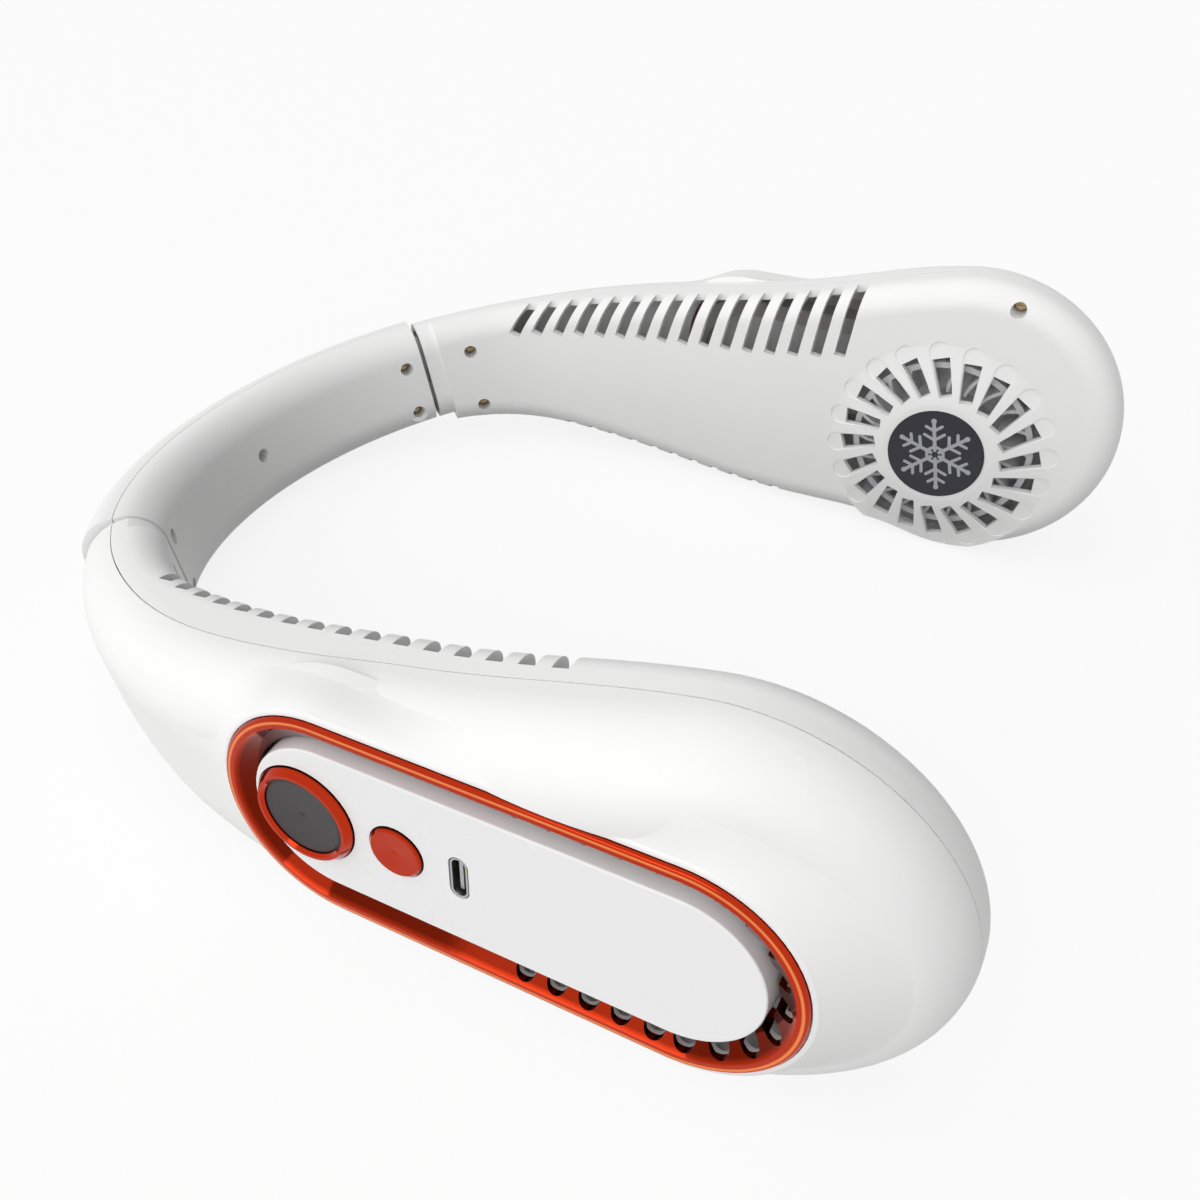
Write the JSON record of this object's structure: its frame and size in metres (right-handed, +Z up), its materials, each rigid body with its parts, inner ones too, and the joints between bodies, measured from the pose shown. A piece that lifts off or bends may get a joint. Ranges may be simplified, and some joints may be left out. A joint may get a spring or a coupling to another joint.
{
  "type": "electric neck fan",
  "caption": "Hands-free neck fan: a U-shaped band with hinged blower arms, edge air vents, swirl grilles, plated oval intake rings and a panel of push buttons beside a charging socket.",
  "frame": {"origin": "middle of the bounding box's bottom face; the fan stands on both lobes and on the back of the band", "axes": "+Z up; +Y from the open front towards the back of the band; +X to the right as seen from the open front, with the control arm on the -X side"},
  "size_m": [0.2131, 0.2296, 0.0759],
  "materials": {
    "shell_white": "satin",
    "panel_white": "semi-gloss",
    "plating_orange": "electroplated mirror",
    "cap_dark": "smoked gloss",
    "badge_dark": "satin",
    "wheel_grey": "moulded",
    "rotor_steel": "zinc plated",
    "screw_steel": "yellow zinc plated",
    "socket_steel": "nickel plated",
    "bracket_white": "moulded",
    "bracket_metal": "die cast",
    "board_green": "solder mask",
    "cell_foil": "foil pouch",
    "cable_black": "matt",
    "switch_black": "moulded"
  },
  "bodies": {
    "neck_band": {"neck_inner_shell": "shell_white", "neck_outer_shell": "shell_white", "neck_screws": "screw_steel", "battery_cell_right": "cell_foil", "battery_cell_left": "cell_foil", "battery_guard_board": "board_green", "neck_cable": "cable_black", "hinge_bracket_right": "bracket_white", "hinge_bracket_left": "bracket_white"},
    "right_arm": {"arm_inner_shell_right": "shell_white", "arm_outer_shell_right": "shell_white", "arm_screws_right": "screw_steel", "hinge_pins_right": "rotor_steel", "intake_ring_right": "plating_orange", "plain_panel_right": "panel_white", "badge_disc_right": "badge_dark", "motor_stator_right": "rotor_steel", "motor_bracket_right": "bracket_metal", "motor_screws_right": "screw_steel"},
    "left_arm": {"arm_inner_shell_left": "shell_white", "arm_outer_shell_left": "shell_white", "arm_screws_left": "screw_steel", "hinge_pins_left": "rotor_steel", "intake_ring_left": "plating_orange", "control_panel_left": "panel_white", "badge_disc_left": "badge_dark", "motor_stator_left": "rotor_steel", "motor_bracket_left": "bracket_metal", "motor_screws_left": "screw_steel", "control_board": "board_green", "board_screws": "screw_steel", "power_switch": "switch_black", "mode_switch": "switch_black", "charging_socket": "socket_steel"},
    "right_impeller": {"impeller_wheel_right": "wheel_grey", "rotor_cup_right": "rotor_steel", "motor_shaft_right": "rotor_steel"},
    "left_impeller": {"impeller_wheel_left": "wheel_grey", "rotor_cup_left": "rotor_steel", "motor_shaft_left": "rotor_steel"},
    "power_button": {"power_button_ring": "plating_orange", "power_button_cap": "cap_dark"},
    "mode_button": {"mode_button": "plating_orange"}
  },
  "joints": [
    {"name": "right_arm_hinge", "type": "hinge", "parent": "neck_band", "child": "right_arm", "pos_m": [0.06295, 0.07755, 0.02167], "axis": [0, 0.2426, 0.9701], "range_deg": [-5, 6]},
    {"name": "left_arm_hinge", "type": "hinge", "parent": "neck_band", "child": "left_arm", "pos_m": [-0.06295, 0.07755, 0.02167], "axis": [0, -0.2426, -0.9701], "range_deg": [-5, 6]},
    {"name": "right_impeller_spin", "type": "hinge", "parent": "right_arm", "child": "right_impeller", "pos_m": [0.085, -0.07248, 0.0297], "axis": [1, 0, 0], "continuous": true},
    {"name": "left_impeller_spin", "type": "hinge", "parent": "left_arm", "child": "left_impeller", "pos_m": [-0.085, -0.07248, 0.0297], "axis": [-1, 0, 0], "continuous": true},
    {"name": "power_button_press", "type": "slide", "parent": "left_arm", "child": "power_button", "axis": [0.9976, -0.0032, -0.0697], "range_m": [0, 0.0003], "stiffness_N_per_m": 2000},
    {"name": "mode_button_press", "type": "slide", "parent": "left_arm", "child": "mode_button", "axis": [0.9976, -0.0032, -0.0697], "range_m": [0, 0.0003], "stiffness_N_per_m": 2000}
  ]
}
